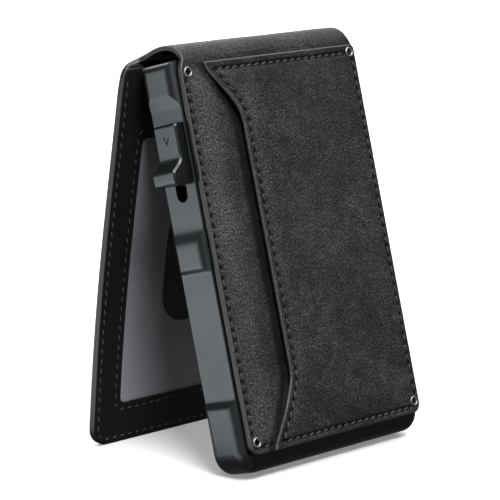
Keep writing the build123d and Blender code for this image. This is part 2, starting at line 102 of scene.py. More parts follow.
# ------------------------------------------------------------------ leather sizes, in mm
PANEL_HALF = 31.2
PANEL_TOP = 97.4
PANEL_CORNER = 2.5
LEATHER = 1.5
POCKET = 1.0
POCKET_TOP = 97.0
POCKET_RIGHT = 30.3
POCKET_TOP_CORNER = 1.5
SPINE = 1.3
FLAP_HALF = 36.0
FLAP_CORNER = 4.5
FLAP_STRAIGHT = 99.0
LINING = 0.6
FLAP_OUTER = 1.1
FLAP_THICK = 2.1
LINING_TOP = 99.6
BOARD_LOW, BOARD_HIGH = LINING + 0.02, 0.98
BOARD_INSET = 1.9
BOARD_TOP = 98.2
FILM_LOW, FILM_HIGH = 0.28, 0.5
FILM_MARGIN = 0.04
WINDOW_HALF = 27.2
WINDOW_LOW, WINDOW_HIGH = 10.4, 81.0
WINDOW_CORNER = 1.6
WINDOW_SEAM_HALF = 28.9
WINDOW_SEAM_LOW, WINDOW_SEAM_HIGH = 8.7, 83.5
WINDOW_SEAM_CORNER = 2.6
NOTCH_X = -5.6
NOTCH_RADIUS = 8.8
NOTCH_LOW, NOTCH_HIGH = 29.3, 62.0
EYELET_LEFT = -29.0
EYELET_RIGHT = 28.1
EYELET_ZS = (3.0, 95.0)
EYELET_HOLE = 0.9
UV_SIZE = 100.0

# Seams: the stitches' pitch, how far each seam lies from its edge, and where rows end.
STITCH_PITCH = 2.6
FRONT_SEAM = 1.2
FLAP_SEAM = 1.45
FLAP_SEAM_CORNER = 3.1
FLAP_SEAM_FOOT = 1.5
FLAP_SEAM_TOP = 97.0
POCKET_SEAM = 1.3
OPENING_SEAM = 2.2
FOOT_SEAM = 1.6
SIDE_SEAM_ENDS = (5.2, 92.9)
FRONT_SEAM_X = -30.0
FRONT_FOOT_ENDS = (-26.9, -24.2)
POCKET_ROW_END = 26.0
TOP_ROW_GAP = 0.6
FOOT_ROW_GAP = 1.0


# ------------------------------------------------------------------ materials
class Nodes:
    """A small helper for building one procedural material."""

    def __init__(self, name):
        self.material = bpy.data.materials.new(name)
        self.material.use_nodes = True
        self.tree = self.material.node_tree
        self.shader = self.tree.nodes["Principled BSDF"]

    def add(self, kind, **values):
        """A new node, with values for its properties or inputs."""
        node = self.tree.nodes.new("ShaderNode" + kind)
        for key, value in values.items():
            if hasattr(node, key):
                setattr(node, key, value)
            else:
                node.inputs[key.replace("_", " ")].default_value = value
        return node

    def link(self, out, into):
        self.tree.links.new(out, into)

    def coords(self, uv):
        node = self.add("TexCoord")
        return node.outputs["UV" if uv else "Object"]

    def noise(self, vector, scale, detail=5.0, rough=0.55, distortion=0.0):
        node = self.add("TexNoise", Scale=scale, Detail=detail, Roughness=rough)
        node.inputs["Distortion"].default_value = distortion
        self.link(vector, node.inputs["Vector"])
        return node.outputs["Fac"]

    def ramp(self, value, stops):
        """A value turned into colours, from (place, colour) stops."""
        node = self.add("ValToRGB")
        ramp = node.color_ramp
        while len(ramp.elements) < len(stops):
            ramp.elements.new(0.5)
        for element, (place, colour) in zip(ramp.elements, stops):
            element.position = place
            element.color = (*colour, 1)
        self.link(value, node.inputs["Fac"])
        return node.outputs["Color"]

    def span(self, value, low, high, to_low, to_high):
        """A value carried from one range to another."""
        node = self.add("MapRange")
        limits = {"From Min": low, "From Max": high, "To Min": to_low, "To Max": to_high}
        for key, number in limits.items():
            node.inputs[key].default_value = number
        self.link(value, node.inputs["Value"])
        return node.outputs["Result"]

    def mix(self, factor, a, b, blend="MIX"):
        """Two colours blended; each input is a number, a colour or a socket."""
        node = self.add("Mix", data_type="RGBA", blend_type=blend)
        for socket, value in ((node.inputs[0], factor), (node.inputs[6], a), (node.inputs[7], b)):
            if isinstance(value, (int, float)):
                socket.default_value = value
            elif isinstance(value, tuple):
                socket.default_value = (*value, 1)
            else:
                self.link(value, socket)
        return node.outputs[2]

    def bump(self, height, strength, distance, base=None):
        """A normal tilted by a height, on top of another normal if there is one."""
        node = self.add("Bump", Strength=strength, Distance=distance)
        self.link(height, node.inputs["Height"])
        if base is not None:
            self.link(base, node.inputs["Normal"])
        return node.outputs["Normal"]

    def set(self, **values):
        """Plain values on the shader's own inputs."""
        for key, value in values.items():
            self.shader.inputs[key.replace("_", " ")].default_value = value


def grey(value, warm=0.0):
    """A near-neutral colour, slightly warm above zero and slightly cool below."""
    return (value * (1 + warm), value, value * (1 - warm))


def distressed_leather():
    """The cover: charcoal and waxed, with blotches and fine pores, painted paler for painted highlights and darker
    for painted shade and shadow by a value per point, which also carries random tone.
    """
    m = Nodes("distressed_leather")
    uv = m.coords(True)
    tone_and_painted_light = m.add("Attribute", attribute_name="tone_and_painted_light").outputs["Fac"]
    blotch = m.noise(uv, 6.0, 4.0, 0.6, 0.4)
    cloud = m.noise(uv, 26.0, 8.0, 0.72, 0.6)
    speck = m.noise(uv, 185.0, 6.0, 0.88)
    tone = m.ramp(blotch, [(0.34, (0.0195, 0.0195, 0.0185)), (0.66, (0.037, 0.037, 0.035))])
    mottle = m.ramp(cloud, [(0.34, grey(0.55)), (0.5, grey(0.95)), (0.68, grey(1.6))])
    fleck = m.ramp(speck, [(0.42, grey(0.06)), (0.5, grey(0.82)), (0.58, grey(3.1))])
    colour = m.mix(1.0, tone, mottle, "MULTIPLY")
    colour = m.mix(1.0, colour, fleck, "MULTIPLY")
    # Above zero the leather is painted paler: painted highlights, and some pale random tone.
    pale = m.span(tone_and_painted_light, 0.0, 1.0, 0.0, 0.55)
    colour = m.mix(pale, colour, m.mix(1.0, fleck, grey(0.1, 0.02), "MULTIPLY"))
    # Below zero it is painted darker, down to near black: painted shade and painted shadow, and some dark random
    # tone.
    dark = m.span(tone_and_painted_light, 0.0, -1.0, 0.0, 0.92)
    colour = m.mix(dark, colour, grey(0.002))
    m.link(colour, m.shader.inputs["Base Color"])
    m.link(m.span(cloud, 0.3, 0.7, 0.5, 0.72), m.shader.inputs["Roughness"])
    pores = m.add("TexVoronoi", Scale=190.0)
    m.link(uv, pores.inputs["Vector"])
    grain = m.bump(pores.outputs["Distance"], 0.5, 0.00015)
    grain = m.bump(speck, 0.9, 0.0002, grain)
    grain = m.bump(m.noise(uv, 46.0, 8.0, 0.62, 0.8), 0.5, 0.0004, grain)
    m.link(grain, m.shader.inputs["Normal"])
    m.set(Specular_IOR_Level=0.25)
    return m.material


def smooth_lining():
    """The flap's lining: black, smooth and slightly sheened."""
    m = Nodes("smooth_lining")
    uv = m.coords(True)
    soft = m.noise(uv, 9.0, 4.0, 0.6)
    m.link(m.ramp(soft, [(0.3, grey(0.006, -0.06)), (0.7, grey(0.011, -0.06))]),
           m.shader.inputs["Base Color"])
    fine = m.noise(uv, 300.0, 3.0, 0.6)
    m.link(m.span(fine, 0.3, 0.7, 0.42, 0.56), m.shader.inputs["Roughness"])
    cells = m.add("TexVoronoi", Scale=150.0)
    m.link(uv, cells.inputs["Vector"])
    grain = m.bump(cells.outputs["Distance"], 0.22, 0.0001)
    m.link(m.bump(fine, 0.2, 0.00008, grain), m.shader.inputs["Normal"])
    m.set(Specular_IOR_Level=0.35)
    return m.material


def painted_edge(name, value):
    """Burnished edge paint, a little uneven; made as a pale copy for the rims, a painted highlight, and a dark
    copy for the side walls, painted shade.
    """
    m = Nodes(name)
    at = m.coords(False)
    streak = m.noise(at, 900.0, 4.0, 0.6)
    m.link(m.ramp(streak, [(0.3, grey(0.7 * value, 0.01)), (0.7, grey(1.2 * value, 0.02))]),
           m.shader.inputs["Base Color"])
    m.link(m.span(streak, 0.3, 0.7, 0.3, 0.45), m.shader.inputs["Roughness"])
    m.link(m.bump(streak, 0.3, 0.0001), m.shader.inputs["Normal"])
    return m.material


def thread(name, value, rough):
    """Twisted waxed thread."""
    m = Nodes(name)
    uv = m.coords(True)
    twist = m.add("TexWave", Scale=1.0)
    twist.inputs["Distortion"].default_value = 0.3
    m.link(uv, twist.inputs["Vector"])
    m.link(m.ramp(twist.outputs["Fac"], [(0.0, grey(value * 0.55)), (1.0, grey(value))]),
           m.shader.inputs["Base Color"])
    m.link(m.bump(twist.outputs["Fac"], 0.5, 0.00006), m.shader.inputs["Normal"])
    m.set(Roughness=rough)
    return m.material


def metal(name, colour, rough, grain_scale, stretch=(1, 1, 1), strength=0.12):
    """Satin metal: fine blast texture or brushing, with faint tone and gloss variation."""
    m = Nodes(name)
    at = m.add("Mapping")
    m.link(m.coords(False), at.inputs["Vector"])
    at.inputs["Scale"].default_value = stretch
    broad = m.noise(m.coords(False), 60.0, 3.0, 0.5)
    fine = m.noise(at.outputs["Vector"], grain_scale, 3.0, 0.6)
    dark = tuple(c * 0.88 for c in colour)
    light = tuple(c * 1.1 for c in colour)
    m.link(m.ramp(broad, [(0.3, dark), (0.7, light)]), m.shader.inputs["Base Color"])
    m.link(m.span(fine, 0.25, 0.75, rough - 0.04, rough + 0.05), m.shader.inputs["Roughness"])
    m.link(m.bump(fine, strength, 0.00004), m.shader.inputs["Normal"])
    m.set(Metallic=1.0)
    return m.material


def plastic(name, value, rough):
    """Moulded plastic, board or rubber with a fine texture."""
    m = Nodes(name)
    at = m.coords(False)
    fine = m.noise(at, 2600.0, 3.0, 0.6)
    broad = m.noise(at, 120.0, 3.0)
    m.link(m.ramp(broad, [(0.3, grey(value * 0.85)), (0.7, grey(value * 1.15))]),
           m.shader.inputs["Base Color"])
    m.link(m.span(fine, 0.3, 0.7, rough - 0.06, rough + 0.06), m.shader.inputs["Roughness"])
    m.link(m.bump(fine, 0.15, 0.00005), m.shader.inputs["Normal"])
    return m.material


def window_plastic():
    """The identity window: clear vinyl with a grey haze and soft ripples."""
    m = Nodes("window_plastic")
    at = m.coords(False)
    haze = m.noise(at, 26.0, 3.0, 0.5)
    m.link(m.ramp(haze, [(0.3, (0.42, 0.422, 0.465)), (0.7, (0.49, 0.49, 0.545))]),
           m.shader.inputs["Base Color"])
    m.link(m.bump(m.noise(at, 40.0, 1.0), 0.05, 0.0004), m.shader.inputs["Normal"])
    m.link(m.span(haze, 0.3, 0.7, 0.24, 0.34), m.shader.inputs["Roughness"])
    m.set(Alpha=0.78, Specular_IOR_Level=0.5)
    return m.material


def backdrop_paint():
    """The studio's pale wall, evenly lit."""
    m = Nodes("backdrop_paint")
    tone = m.noise(m.coords(False), 0.6)
    m.link(m.ramp(tone, [(0.3, (0.975, 0.975, 0.96)), (0.7, (0.985, 0.985, 0.97))]),
           m.shader.inputs["Emission Color"])
    m.set(Base_Color=(0, 0, 0, 1), Roughness=1.0, Specular_IOR_Level=0.0, Emission_Strength=1.0)
    return m.material


def floor_paint():
    """Matt white paint that glows a little, so that shadows on it stay soft and pale."""
    m = Nodes("floor_paint")
    tone = m.noise(m.coords(False), 3.0)
    m.link(m.ramp(tone, [(0.3, grey(0.88)), (0.7, grey(0.9))]),
           m.shader.inputs["Base Color"])
    m.set(Roughness=0.8, Emission_Color=(1, 0.998, 0.985, 1), Emission_Strength=0.24)
    return m.material


COVER = distressed_leather()
# One edge paint in two copies: pale on the rims as a painted highlight, dark on the side walls as painted shade.
EDGE_PAINT_PAINTED_HIGHLIGHT = painted_edge("rim_edge_paint_painted_highlight", 0.09)
EDGE_PAINT_PAINTED_SHADE = painted_edge("wall_edge_paint_painted_shade", 0.026)
SMOOTH = smooth_lining()
# The black thread is lifted to dark grey, and the lining's thread to grey, as painted glints.
BLACK_THREAD_PAINTED_GLINTS = thread("black_thread_painted_glints", 0.09, 0.28)
THREAD_PAINTED_GREY_GLINTS = thread("thread_painted_grey_glints", 0.14, 0.35)
GUNMETAL = metal("gunmetal", (0.082, 0.092, 0.097), 0.36, 2400.0)
# A darker copy of the gunmetal for the mouth bezel: painted shade, with a tighter gloss.
GUNMETAL_PAINTED_SHADE = metal("bezel_gunmetal_painted_shade", (0.06, 0.067, 0.07), 0.25, 2400.0)
CLIP_STEEL = metal("clip_steel", (0.52, 0.53, 0.55), 0.27, 1400.0, (1, 0.04, 0.04), 0.25)
NICKEL = metal("nickel", (0.4, 0.4, 0.41), 0.42, 2000.0)
# The spring is coloured near black so that it stays as dark as the shaded slot it stands in: painted shade.
SPRING_PAINTED_SHADE = metal("spring_near_black_painted_shade", (0.03, 0.031, 0.034), 0.4, 2000.0)
SCREW = metal("screw_steel", (0.2, 0.21, 0.225), 0.32, 2000.0)
BOARD = plastic("board", 0.03, 0.6)
ACETAL = plastic("acetal", 0.025, 0.42)
RUBBER = plastic("rubber", 0.03, 0.75)
WINDOW = window_plastic()


# ------------------------------------------------------------------ mesh helpers
def make_object(name, vertices, faces, materials, face_material=None, uvs=None, tone_and_painted_light=None):
    """A smooth-shaded mesh object at the origin, from points in row frame metres.

    The value per point given for tone and painted light pales the leather above zero, for painted highlights and
    pale tone, and darkens it below zero, for painted shade, painted shadow and dark tone.
    """
    mesh = bpy.data.meshes.new(name)
    mesh.from_pydata([tuple(v) for v in vertices], [], [tuple(f) for f in faces])
    for material in materials:
        mesh.materials.append(material)
    if face_material is not None:
        mesh.polygons.foreach_set("material_index", np.asarray(face_material, np.int32))
    if uvs is not None:
        layer = mesh.uv_layers.new(name="UVMap")
        index = np.zeros(len(mesh.loops), np.int32)
        mesh.loops.foreach_get("vertex_index", index)
        layer.data.foreach_set("uv", np.asarray(uvs, np.float32)[index].ravel())
    if tone_and_painted_light is not None:
        mesh.attributes.new("tone_and_painted_light", "FLOAT", "POINT").data.foreach_set("value", tone_and_painted_light)
    mesh.polygons.foreach_set("use_smooth", [True] * len(mesh.polygons))
    mesh.validate()
    mesh.update()
    made = bpy.data.objects.new(name, mesh)
    bpy.context.scene.collection.objects.link(made)
    return made


WAVE_COUNT = 9


def waves(x, s, seed, size):
    """A soft random relief from -1 to 1, whose hills are about size mm apart."""
    random = np.random.default_rng(seed)
    total = np.zeros(np.broadcast(x, s).shape)
    for _ in range(WAVE_COUNT):
        turn = random.uniform(0, math.tau)
        length = size * random.uniform(0.7, 1.8)
        phase = random.uniform(0, math.tau)
        total += np.sin((x * math.cos(turn) + s * math.sin(turn)) * math.tau / length + phase)
    return total / WAVE_COUNT


# The distances in from an edge at which a sheet has lines of points, close enough to round it.
NEAR_EDGE = [0, 0.07, 0.17, 0.3, 0.46, 0.66, 0.9, 1.15, 1.4, 1.65, 1.9, 2.15, 2.45, 2.8, 3.2,
             3.8, 4.6]


def steps_between(length, coarse):
    """Places along a length: close together near both ends, coarse apart between."""
    count = max(2, round((length - 2 * NEAR_EDGE[-1]) / coarse))
    inner = np.linspace(NEAR_EDGE[-1], length - NEAR_EDGE[-1], count + 1)
    return np.concatenate([NEAR_EDGE[:-1], inner, length - np.array(NEAR_EDGE[-2::-1])])


def arc_inset(distance, radius):
    """How far a quarter-round edge or corner is set in, at a distance from where it starts."""
    inward = np.clip(radius - distance, 0, radius)
    return radius - np.sqrt(radius**2 - inward**2)


# Each stitch ends in two needle holes, the pits, and the row of them lies in a furrow. Both are sunk, and both are
# painted dark as the shade inside them.
PIT_DEPTH = 0.5
PIT_RADIUS = 0.58
PIT_WIDENING = 0.9
PIT_PAINTED_SHADE = 1.3
FURROW_DEPTH = 0.16
FURROW_HALF_WIDTH = 0.55
FURROW_HALF_LENGTH = 1.1
FURROW_PAINTED_SHADE = 0.25
MARK_REACH = 2.6


def stitch_marks(x, s, spots):
    """The needle holes and the furrow of a seam, each from 0 to 1. spots are (x, s, dx, ds)."""
    pits = np.zeros(x.shape)
    furrow = np.zeros(x.shape)
    for cx, cs, dx, ds in spots:
        near = (np.abs(x - cx) < MARK_REACH) & (np.abs(s - cs) < MARK_REACH)
        ahead = (x[near] - cx) * dx + (s[near] - cs) * ds
        aside = (s[near] - cs) * dx - (x[near] - cx) * ds
        furrow[near] += np.exp(
            -((aside / FURROW_HALF_WIDTH) ** 2) - (ahead / FURROW_HALF_LENGTH) ** 4
        )
        for end in (-0.5, 0.5):
            off = np.hypot(ahead - end * STITCH_PITCH, aside * PIT_WIDENING)
            pits[near] = np.maximum(pits[near], np.exp(-((off / PIT_RADIUS) ** 4)))
    return pits, np.clip(furrow, 0, 1)


# A sheet's rounded edges, the size of its cells, and the width of its painted rim, which takes the pale copy of
# the edge paint as a painted highlight.
OUTER_ROUND = 0.45
INNER_ROUND = 0.25
CELL = 0.8
ROW_STEP = 0.55
RELIEF_FADE = 0.8
RIM_WIDTH = 0.26
INNER_UV_SHIFT = 0.37
LEATHER_FACE, RIM_FACE, WALL_FACE = 0, 1, 2


def sheet(name, rows, line, right, thick, relief, lift, tone_and_painted_light, holes, spots, left=None,
          wall_edge_paint_painted_shade=True):
    """A leather sheet swept along a line in the row frame's YZ plane.

    rows are distances along it, line(rows) gives points and outward normals, and right(rows)
    and left(rows) are the x limits at each row. thick, relief, lift and the tone and painted light
    are functions of x, the distance along and the distance in from the edge: relief moves the outer
    face, lift moves both faces, and the tone and painted light pales or darkens the leather. holes
    are centres (x, s) of round holes, and spots its stitches, whose needle holes and furrows are
    painted dark as shade. The edge's rim takes a pale copy of the edge paint, a painted highlight,
    and its side wall a dark copy, painted shade; where that wall paint is switched off, the wall
    is leather painted darker towards the inner face, and the inner face nearly black, as shade.
    The edge's rim is painted, and so is its side wall where wall_edge_paint_painted_shade is true.
    """
    points, normals = line(rows)
    high = right(rows)
    low = -high if left is None else left(rows)
    near = np.array(NEAR_EDGE)
    across = max(4, round((float(np.max(high - low)) - 2 * near[-1]) / CELL))
    first = low[:, None] + near[None, :]
    last = high[:, None] - near[::-1][None, :]
    fraction = np.linspace(0, 1, across + 1)[1:-1]
    between = first[:, -1:] + (last[:, :1] - first[:, -1:]) * fraction
    x = np.concatenate([first, between, last], axis=1)
    s = np.broadcast_to(rows[:, None], x.shape)
    tilt_low = 1 / np.hypot(1, np.gradient(low, rows))[:, None]
    tilt_high = 1 / np.hypot(1, np.gradient(high, rows))[:, None]
    sideways = np.minimum((x - low[:, None]) * tilt_low, (high[:, None] - x) * tilt_high)
    endways = np.minimum(s - rows[0], rows[-1] - s)
    distance = np.clip(np.minimum(sideways, endways), 0, None)
    moved = lift(x, s, distance)
    fade = np.clip(distance / RELIEF_FADE, 0, 1)
    outer = moved - arc_inset(distance, OUTER_ROUND) + relief(x, s, distance) * fade
    pits, furrow = stitch_marks(x, s, spots)
    outer = outer - np.maximum(PIT_DEPTH * pits, FURROW_DEPTH * furrow)
    # The sheet's tone and painted light, with painted shade in the needle holes and the furrows.
    painted_light_per_point = tone_and_painted_light(x, s, distance) * (1 - pits) - PIT_PAINTED_SHADE * pits - FURROW_PAINTED_SHADE * furrow
    inner = moved + arc_inset(distance, INNER_ROUND) - thick(x, s, distance)
    grids = []
    for offset in (outer, inner):
        yz = points[:, None, :] + normals[:, None, :] * offset[..., None]
        grids.append(np.dstack([x + middle.x / MM, yz]) * MM)
    number = np.arange(x.size).reshape(x.shape)
    quads = np.stack([number[:-1, :-1], number[:-1, 1:], number[1:, 1:], number[1:, :-1]], -1)
    quads = quads.reshape(-1, 4)
    cell_x, cell_s, rim = (grid.ravel()[quads].mean(1) for grid in (x, s, distance))
    keep = np.ones(len(quads), bool)
    for hole_x, hole_s in holes:
        keep &= np.hypot(cell_x - hole_x, cell_s - hole_s) > EYELET_HOLE
    quads, rim = quads[keep], rim[keep]
    # The outermost rows take the pale copy of the edge paint: a painted highlight along the rounded rim.
    kinds = list(np.where(rim < RIM_WIDTH, RIM_FACE, LEATHER_FACE))
    borders = set()
    for quad in quads.tolist():
        for a, b in zip(quad, quad[1:] + quad[:1]):
            if (b, a) in borders:
                borders.remove((b, a))
            else:
                borders.add((a, b))
    faces = quads.tolist() + (x.size + quads[:, ::-1]).tolist()
    faces += [(b, a, x.size + a, x.size + b) for a, b in sorted(borders)]
    kinds = kinds + kinds + [WALL_FACE if wall_edge_paint_painted_shade else LEATHER_FACE] * len(borders)
    uv = np.stack([x, s], -1).reshape(-1, 2) / UV_SIZE
    vertices = np.concatenate([grid.reshape(-1, 3) for grid in grids])
    # Where the wall takes no edge paint, the inner face is painted nearly black and the wall darkens towards it:
    # painted shade under the lifted edge.
    painted_light_per_point = np.concatenate([painted_light_per_point.ravel(), np.full(x.size, 0.0 if wall_edge_paint_painted_shade else -1.0)])
    uv = np.concatenate([uv, uv + INNER_UV_SHIFT])
    return make_object(name, vertices, faces, [COVER, EDGE_PAINT_PAINTED_HIGHLIGHT, EDGE_PAINT_PAINTED_SHADE], kinds, uv, painted_light_per_point)


def along(points):
    """A line through points, as functions of distance: place and outward normal at each."""
    points = np.asarray(points, float)
    steps = np.linalg.norm(np.diff(points, axis=0), axis=1)
    s = np.concatenate([[0], np.cumsum(steps)])
    tangents = np.gradient(points, s, axis=0)
    tangents /= np.linalg.norm(tangents, axis=1)[:, None]

    def line(rows):
        place = np.stack([np.interp(rows, s, points[:, k]) for k in (0, 1)], -1)
        forward = np.stack([np.interp(rows, s, tangents[:, k]) for k in (0, 1)], -1)
        forward /= np.linalg.norm(forward, axis=1)[:, None]
        return place, np.stack([-forward[:, 1], forward[:, 0]], -1)

    return line, s[-1]


def row_yz(place, points):
    """The row frame's Y and Z, in mm, of (y, z) points in a drawing frame."""
    full = np.array([(0, y, z) for y, z in points], float)
    return place.at(full)[:, 1:] / MM


def straight(place, y, z0, z1):
    """A straight line up a drawing frame at depth y."""
    line, _ = along(row_yz(place, [(y, z) for z in np.linspace(z0, z1, 30)]))
    return line


def smooth_curve(points, count):
    """A Catmull-Rom curve through points."""
    points = np.asarray(points, float)
    padded = np.vstack([2 * points[0] - points[1], points, 2 * points[-1] - points[-2]])
    out = []
    for k in range(1, len(padded) - 2):
        a, b, c, d = padded[k - 1:k + 3]
        for t in np.linspace(0, 1, count, endpoint=False):
            squared, cubed = 2 * a - 5 * b + 4 * c - d, 3 * b - a - 3 * c + d
            out.append(0.5 * (2 * b + (c - a) * t + squared * t**2 + cubed * t**3))
    out.append(points[-1])
    return np.array(out)


# ------------------------------------------------------------------ stitching
# Half the stretch of line along which a stitch is aimed.
AIM = 0.4


def stitch_row(line):
    """Stitch centres and directions along a polyline of (x, z) points."""
    line = np.asarray(line, float)
    steps = np.linalg.norm(np.diff(line, axis=0), axis=1)
    s = np.concatenate([[0], np.cumsum(steps)])
    count = max(1, round(s[-1] / STITCH_PITCH))
    places = (np.arange(count) + 0.5) * s[-1] / count
    centre, ahead, behind = (
        np.stack([np.interp(places + shift, s, line[:, k]) for k in (0, 1)], -1)
        for shift in (0, AIM, -AIM)
    )
    forward = ahead - behind
    return centre, forward / np.linalg.norm(forward, axis=1)[:, None]


def spots_of(rows):
    """The (x, z, dx, dz) of every stitch in some rows."""
    return [(*c, *f) for row in rows for c, f in zip(*row)]


BEAD_BLUNTNESS = 3.2


def capsule(rings=7, sides=8):
    """Points and faces of a stitch: a swelling bead one unit long and one unit thick."""
    points, faces = [(-0.5, 0, 0)], []
    for k in range(1, rings):
        t = -0.5 + k / rings
        r = 0.5 * (1 - (2 * abs(t)) ** BEAD_BLUNTNESS) ** 0.5
        for j in range(sides):
            turn = math.tau * j / sides
            points.append((t, r * math.cos(turn), r * math.sin(turn)))
    points.append((0.5, 0, 0))
    last = len(points) - 1
    for j in range(sides):
        k = (j + 1) % sides
        faces.append((0, 1 + k, 1 + j))
        faces.append((last, last - sides + j, last - sides + k))
        for r in range(rings - 2):
            a, b = 1 + r * sides, 1 + (r + 1) * sides
            faces.append((a + j, a + k, b + k, b + j))
    return np.array(points), faces


BEAD, BEAD_FACES = capsule()
# Each stitch's turn in degrees, its spread in size, how it sits, and its thread's twist.
STITCH_SLANT = 12.0
SLANT_SPREAD = 2.0
LENGTH_SPREAD = (0.93, 1.05)
WIDTH_SPREAD = (0.92, 1.08)
STITCH_FLATNESS = 0.85
STITCH_SINK = 0.05
END_DIVE = 0.9
TWIST_SLANT = 0.6
TWIST_RATE = 2.0


def stitches(name, place, rows, depth, outward, material, seed, length=2.0, width=0.46):
    """Every stitch of a group of rows, as one piece.

    depth is the y of the face they lie on, and outward is -1 or 1 for the side they show on.
    """
    random = np.random.default_rng(seed)
    vertices, faces, uvs = [], [], []
    spots = spots_of(rows)
    for (x, z, dx, dz), face in zip(spots, np.broadcast_to(depth, len(spots))):
        turn = math.radians(STITCH_SLANT + random.normal(0, SLANT_SPREAD))
        fx = dx * math.cos(turn) - dz * math.sin(turn)
        fz = dx * math.sin(turn) + dz * math.cos(turn)
        long = length * random.uniform(*LENGTH_SPREAD)
        thick = width * random.uniform(*WIDTH_SPREAD)
        ahead = np.array((fx, 0, fz)) * long
        side = np.array((-fz, 0, fx)) * thick
        up = np.array((0, outward, 0)) * thick * STITCH_FLATNESS
        centre = np.array((x, face - outward * STITCH_SINK, z))
        bead = BEAD[:, :1] * ahead + BEAD[:, 1:2] * side + BEAD[:, 2:3] * up + centre
        bead = bead - np.abs(BEAD[:, :1]) ** 2 * up * END_DIVE
        start = len(vertices)
        vertices += list(place.at(bead))
        faces += [tuple(start + i for i in f) for f in BEAD_FACES]
        uvs += [((b[0] + b[1] * TWIST_SLANT) * TWIST_RATE, b[2]) for b in BEAD]
    if outward < 0:
        faces = [tuple(reversed(f)) for f in faces]
    return make_object(name, vertices, faces, [material], None, uvs)


def polyline_arc(corner, before, after, radius, count=8):
    """Points of a rounded corner between two neighbours."""
    corner, before, after = (np.array(p, float) for p in (corner, before, after))
    a = (before - corner) / np.linalg.norm(before - corner)
    b = (after - corner) / np.linalg.norm(after - corner)
    half = math.acos(np.clip(a @ b, -1, 1)) / 2
    reach = radius / math.tan(half)
    centre = corner + (a + b) / np.linalg.norm(a + b) * radius / math.sin(half)
    start, end = corner + a * reach, corner + b * reach
    first, last = start - centre, end - centre
    turn = math.atan2(first[0] * last[1] - first[1] * last[0], first @ last)
    out = []
    for t in np.linspace(0, 1, count):
        c, s = math.cos(turn * t), math.sin(turn * t)
        out.append(centre + (first[0] * c - first[1] * s, first[0] * s + first[1] * c))
    return out


def rounded_line(points, radii):
    """An open polyline with rounded corners."""
    out = [np.array(points[0], float)]
    for k in range(1, len(points) - 1):
        out += polyline_arc(points[k], points[k - 1], points[k + 1], radii[k - 1])
    out.append(np.array(points[-1], float))
    return np.array(out)


# ------------------------------------------------------------------ the leather cover
# One skin: up the case's front, over the spine, and down the flap's outside. Its outer face:
ARCH = [(0.0, 97.4), (0.1, 98.6), (1.1, 100.3), (2.8, 101.7), (5.0, 102.5), (7.4, 102.75),
        (10.0, 102.55), (12.6, 102.0), (14.6, 101.5), (15.9, 100.9), (16.45, 99.9)]
ARCH_START = PANEL_TOP - 0.8
front_line = row_yz(CASE, [(0, z) for z in np.linspace(0, ARCH_START, 60)])
arch_line = row_yz(CASE, smooth_curve(ARCH, 8))
flap_line = row_yz(FLAP, [(FLAP_THICK, w) for w in np.linspace(FLAP_STRAIGHT, 0, 70)])
cover_line, cover_length = along(np.concatenate([front_line, arch_line, flap_line]))

# Half widths: the panel's shoulders up to the neck, and the neck's out to the flap's shoulders.
NECK_SHAPE = [(0, PANEL_HALF), (95.6, PANEL_HALF), (96.4, 31.0), (97.3, 30.5), (98.3, 30.05),
              (99.5, 29.8)]
SHOULDER_SHAPE = [(0, FLAP_HALF), (94.0, FLAP_HALF), (97.6, 35.7), (99.2, 35.1), (100.3, 34.1),
                  (101.1, 32.8), (101.7, 31.5), (102.4, 30.6), (103.6, 30.0), (105.5, 29.8)]

# The pocket's opening edge, as (x, z) points.
OPENING = [(-24.0, 0.0), (-23.2, 1.7), (-16.6, 13.9), (-15.45, 16.4), (-15.1, 18.8),
           (-15.1, 40.0), (-15.3, 80.6), (-15.6, 82.9), (-16.7, 85.4), (-22.9, 94.0),
           (-23.6, 95.4), (-24.0, 97.0)]


def opening_x(z):
    """The x of the pocket's opening edge at a height."""
    return np.interp(z, *zip(*[(b, a) for a, b in OPENING]))


front_rows = [
    stitch_row([(FRONT_SEAM_X, z) for z in SIDE_SEAM_ENDS]),
    stitch_row([(x, FOOT_SEAM) for x in FRONT_FOOT_ENDS]),
]
flap_seam = FLAP_HALF - FLAP_SEAM
flap_path = rounded_line([(-flap_seam, FLAP_SEAM_TOP), (-flap_seam, FLAP_SEAM_FOOT),
                          (flap_seam, FLAP_SEAM_FOOT), (flap_seam, FLAP_SEAM_TOP)],
                         [FLAP_SEAM_CORNER] * 2)
flap_row = stitch_row(flap_path)


def cover_half(s):
    """The cover's half width at a distance along it."""
    w = cover_length - s
    near = np.interp(s, *zip(*NECK_SHAPE)) - arc_inset(s, PANEL_CORNER)
    far = np.interp(w, *zip(*SHOULDER_SHAPE)) - arc_inset(w, FLAP_CORNER)
    return np.where(s < cover_length / 2, near, far)


BOW_HEIGHT = 1.45
BOW_SKEW = 0.78
BOW_POWER = 1.3


def bow(w):
    """How far the flap bellies outwards, at a height up it."""
    t = np.clip(w / FLAP_STRAIGHT, 0, 1)
    return BOW_HEIGHT * np.sin(math.pi * t**BOW_SKEW) ** BOW_POWER


def hump(value, middle, width, power=2):
    """A smooth hump, one high in the middle and nothing well away from it."""
    return np.exp(-(((value - middle) / width) ** power))


GROOVE_DEPTH = 0.14
GROOVE_WIDTH = 0.5


def groove(distance, seam):
    """The furrow that a row of stitches pulls into leather."""
    return -GROOVE_DEPTH * hump(distance, seam, GROOVE_WIDTH)


def pillow(distance, reach, height):
    """A soft rise away from a seam or an edge."""
    t = np.clip(distance / reach, 0, 1)
    return height * t * (2 - t)


